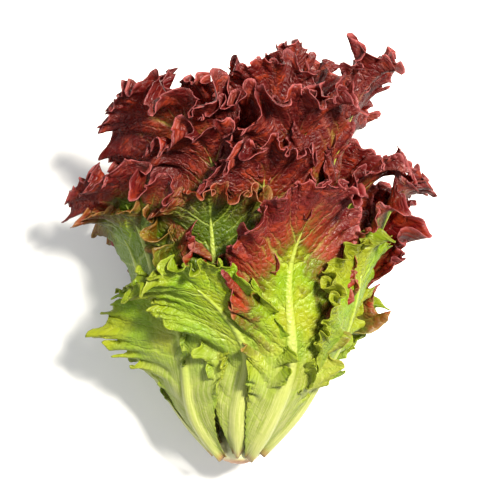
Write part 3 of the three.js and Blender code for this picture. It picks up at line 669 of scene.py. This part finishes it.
class LeafLook(Look):
    """The one material of all leaves. Its patterns lie on each leaf's flat shape in millimetres."""

    def __init__(self):
        super().__init__("leaf")
        self.edge = self.fact("edge")
        self.along = self.fact("along")
        self.across = self.fact("across")
        self.length = self.fact("length")
        self.rib = self.fact("rib")
        self.outer = self.fact("outer")
        self.red = self.fact("red")
        self.number = self.fact("number")
        self.deep = self.fact("deep")
        self.flat = self.vector(self.across, self.length, self.times(self.number, LEAF_SPACING))
        self.slow = self.noise(self.flat, 0.03, 2.0)
        self.patch = self.noise(self.flat, 0.11, 4.0, 0.6, 0.6)
        self.grain = self.noise(self.flat, 0.9, 3.0)
        self.foot = self.times(self.ease(self.length, 38.0, 122.0, 1.0, 0.0),
                               self.ease(self.edge, 0.6, 1.0, 1.0, 0.4))
        self.veins = self.vein_pattern()
        self.score = self.redness()
        normal = self.surface()
        colour = self.with_painted_highlight(self.with_stalk(self.blade_colour()))
        self.set("Base Color", colour)
        self.set("Roughness", self.plus(self.ease(self.patch, 0.3, 0.7, 0.26, 0.44),
                                        self.times(self.outer, 0.06)))
        self.set("Specular IOR Level", 0.34)
        self.set("Normal", normal)
        self.let_light_through(colour, normal)

    def vein_pattern(self):
        """Side veins that fork towards the margin, and a net of small ones between them."""
        bent = self.plus(self.fact("ray"), self.times(self.less(self.patch, 0.5), 0.5))

        def vein(count, offset, width, strength):
            turn = self.plus(self.times(bent, count), offset)
            from_middle = self.math("ABSOLUTE", self.less(self.math("FRACT", turn), 0.5))
            line = self.ease(self.less(0.5, from_middle), 0.0, width, 1.0, 0.0)
            return self.times(line, strength)

        main = vein(1.0, 0.0, self.ease(self.edge, 0.0, 1.0, 0.13, 0.035), 1.0)
        second = vein(2.0, 0.5, self.ease(self.edge, 0.2, 1.0, 0.14, 0.07),
                      self.ease(self.edge, 0.18, 0.4, 0.0, 0.7))
        third = vein(5.0, 0.25, 0.16, self.ease(self.edge, 0.4, 0.65, 0.0, 0.45))
        net = self.ease(self.cells(self.flat, NET_SCALE), 0.0, 0.09, 0.28, 0.0)
        small_net = self.ease(self.cells(self.flat, SMALL_NET_SCALE), 0.0, 0.12, 0.12, 0.0)
        veins = main
        for finer in (second, third, net, small_net):
            veins = self.math("MAXIMUM", veins, finer)
        return self.times(veins, self.ease(self.rib, 0.0, 0.3, 1.0, 0.0))

    def redness(self):
        """0 green to 1 red, redder towards the tip and the margin, in patches."""
        score = self.times(self.less(self.red, 0.5), 1.25)
        score = self.plus(score, self.times(self.less(self.along, 0.5), 2.3))
        at_margin = self.times(self.less(self.edge, 0.7), self.ease(self.along, 0.4, 0.62, 0.1, 1.1))
        score = self.plus(score, at_margin)
        score = self.less(score, self.ease(self.along, 0.3, 0.5, 0.4, 0.0))
        score = self.plus(score, self.times(self.less(self.patch, 0.5), 1.1))
        score = self.plus(score, self.times(self.less(self.slow, 0.5), 0.8))
        score = self.less(score, self.times(self.veins, 0.12))
        return self.math("MULTIPLY", score, self.ease(self.red, 0.0, 0.5), clamp=True)

    def blade_colour(self):
        score = self.score
        colour = self.mix(self.times(self.outer, 0.5), self.ramp(score, LUSH), self.ramp(score, DUSTY))
        # painted light: lighter yellow-green patches on the outermost leaves stand in for the key lamp's
        # light on them
        painted_light = self.times(self.ease(self.slow, 0.4, 0.62, 0.0, 0.55),
                           self.ease(score, 0.0, 0.3, 1.0, 0.0))
        painted_light = self.times(painted_light, self.ease(self.deep, 0.0, 0.1, 1.0, 0.0))
        colour = self.mix(painted_light, colour, PAINTED_LIGHT_GREEN)
        shaded = self.times(self.ease(self.deep, 0.02, 0.24), self.ease(score, 0.2, 0.7, 1.0, 0.35))
        colour = self.tinted(shaded, colour, SHADE_TINT)
        # painted glow: bright orange patches on the red parts stand in for light shining through them
        painted_glow = self.times(self.ease(self.patch, 0.5, 0.68), self.ease(score, 0.3, 0.7, 0.0, 0.6))
        colour = self.mix(painted_glow, colour, PAINTED_GLOW_ORANGE)
        dark = self.times(self.ease(self.patch, 0.46, 0.3), self.ease(score, 0.4, 0.8, 0.0, 0.6))
        colour = self.mix(dark, colour, DARK_WINE)
        colour = self.tinted(self.ease(self.slow, 0.35, 0.7, 0.0, 0.35), colour, WARM_TINT)
        return self.tinted(self.ease(self.grain, 0.3, 0.75, 0.0, 0.25), colour, GRAIN_TINT)

    def with_stalk(self, colour):
        """Pale streaked stalk, then the veins and the rib over it, and its browned end."""
        streak_at = self.vector(self.times(self.across, 0.9), self.times(self.length, 0.04),
                                self.number)
        streak = self.noise(streak_at, 1.0, 3.0)
        stalk = self.mix(self.ease(streak, 0.36, 0.64), STALK_PALE, STALK_GREEN)
        colour = self.mix(self.times(self.foot, 0.95), colour, stalk)
        colour = self.mix(self.times(self.veins, 0.55), colour,
                          self.mix(self.score, VEIN_GREEN, VEIN_RED))
        rib_colour = self.mix(self.ease(self.along, 0.15, 0.75), RIB_PALE, RIB_GREEN)
        rib_colour = self.mix(self.times(self.score, 0.45), rib_colour, RIB_RED)
        rib_most = self.ease(self.foot, 0.4, 1.0, 0.9, 0.5)
        colour = self.mix(self.ease(self.rib, 0.05, 0.75, 0.0, rib_most), colour, rib_colour)
        ends = self.times(self.ease(self.length, 0.0, 10.0, 0.85, 0.0),
                          self.ease(self.patch, 0.3, 0.6, 0.6, 1.0))
        return self.mix(ends, colour, BROWNED)

    def with_painted_highlight(self, colour):
        # painted highlight: pale green and pink glints along the frilled margins, in patches
        rim = self.times(self.ease(self.edge, 0.955, 1.0), self.ease(self.patch, 0.35, 0.6, 0.1, 0.55))
        return self.mix(rim, colour, self.mix(self.score, PAINTED_HIGHLIGHT_GREEN, PAINTED_HIGHLIGHT_PINK))

    def surface(self):
        """Swells between the veins, smoother at the foot, and fine lengthwise fibres."""
        swell = self.ease(self.cells(self.flat, NET_SCALE), 0.0, 0.5)
        height = self.plus(self.times(swell, 0.32), self.times(self.patch, 0.35))
        height = self.less(height, self.times(self.veins, 0.45))
        height = self.times(height, self.ease(self.foot, 0.0, 0.8, 1.0, 0.25))
        fibre_at = self.vector(self.times(self.across, 1.6), self.times(self.length, 0.12),
                               self.number)
        fibres = self.noise(fibre_at, 1.0, 2.0)
        normal = self.bump(height, 1.0, 0.0015)
        return self.bump(self.plus(self.times(self.grain, 0.5), fibres), 0.35, 0.0004, normal)

    def let_light_through(self, colour, normal):
        glow = self.node("ShaderNodeBsdfTranslucent")
        warm = self.mix(self.score, GLOW_GREEN, GLOW_RED)
        self.put(glow.inputs["Color"], self.mix(self.ease(self.score, 0.0, 1.0, 0.3, 0.45), colour, warm))
        self.put(glow.inputs["Normal"], normal)
        both = self.node("ShaderNodeMixShader")
        self.put(both.inputs[0], self.ease(self.rib, 0.0, 0.6, 0.3, 0.1))
        self.put(both.inputs[1], self.shader.outputs[0])
        self.put(both.inputs[2], glow.outputs[0])
        self.put(self.tree.nodes["Material Output"].inputs["Surface"], both.outputs[0])


def stem_material():
    """Pale flesh with a brownish scar over the cut butt."""
    look = Look("stem")
    where = look.node("ShaderNodeTexCoord").outputs["Object"]
    patch = look.noise(where, 90.0, 4.0)
    fine = look.noise(where, 420.0, 3.0)
    flesh = look.mix(look.ease(patch, 0.3, 0.7), FLESH_PALE, FLESH_GREEN)
    scar = look.mix(look.ease(patch, 0.35, 0.65), SCAR_PALE, SCAR_BROWN)
    look.set("Base Color", look.mix(look.fact("butt"), flesh, scar))
    look.set("Roughness", 0.55)
    look.set("Normal", look.bump(look.plus(patch, look.times(fine, 0.4)), 0.6, 0.001))
    return look.material


def add_object(name, mesh, material):
    piece = bpy.data.objects.new(name, mesh)
    mesh.materials.append(material)
    bpy.context.scene.collection.objects.link(piece)
    return piece


# the head
leaf_material = LeafLook().material
for k, leaf in enumerate(LEAVES):
    piece = add_object(leaf["name"] + "_blade", leaf_mesh(k, leaf), leaf_material)
    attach(piece, "root")
    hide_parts(leaf["name"])
stem = add_object("stem_and_butt", core_mesh(), stem_material())
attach(stem, "root")
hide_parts("stem_core")

# pale floor, soft light and the camera over the head, in metres
FLOOR_HALF = 3
FLOOR_COLOUR = (0.92, 0.92, 0.92, 1)
FLOOR_ROUGHNESS = 0.9
SKY_COLOUR = (1, 1, 1, 1)
SKY_STRENGTH = 0.44
HEAD_CENTRE = Vector((0, 0, 0.06))
LENS = 85
SENSOR = 36
SEEN_WIDTH = 0.321
PLANE_HEIGHT = 0.08
CAMERA_Y = 0.004


def add_floor():
    corners = [(-FLOOR_HALF, -FLOOR_HALF, 0), (FLOOR_HALF, -FLOOR_HALF, 0),
               (FLOOR_HALF, FLOOR_HALF, 0), (-FLOOR_HALF, FLOOR_HALF, 0)]
    mesh = bpy.data.meshes.new("floor")
    mesh.from_pydata(corners, [], [(0, 1, 2, 3)])
    paper = Look("floor")
    paper.set("Base Color", FLOOR_COLOUR)
    paper.set("Roughness", FLOOR_ROUGHNESS)
    return add_object("floor", mesh, paper.material)


def add_light(name, place, power, size, colour):
    lamp = bpy.data.lights.new(name, "AREA")
    lamp.energy = power
    lamp.size = size
    lamp.color = colour
    made = bpy.data.objects.new(name, lamp)
    bpy.context.scene.collection.objects.link(made)
    made.location = place
    made.rotation_euler = (HEAD_CENTRE - Vector(place)).to_track_quat("-Z", "Y").to_euler()


def add_sky():
    world = bpy.data.worlds.new("world")
    bpy.context.scene.world = world
    world.use_nodes = True
    background = world.node_tree.nodes["Background"]
    background.inputs["Color"].default_value = SKY_COLOUR
    background.inputs["Strength"].default_value = SKY_STRENGTH


def add_camera():
    """Straight down, with the photo's whole width seen at the plane's height above the floor."""
    data = bpy.data.cameras.new("camera")
    data.lens = LENS
    data.sensor_width = SENSOR
    camera = bpy.data.objects.new("camera", data)
    bpy.context.scene.collection.objects.link(camera)
    camera.location = (0, CAMERA_Y, PLANE_HEIGHT + SEEN_WIDTH / SENSOR * LENS)
    bpy.context.scene.camera = camera


add_floor()
add_sky()
add_light("key", (0.5, 0.35, 1.1), 43, 0.2, (1, 0.95, 0.84))
add_light("fill", (-0.8, -0.4, 0.9), 4, 0.8, (1, 1, 1))
add_camera()
bpy.context.scene.view_settings.view_transform = "Standard"
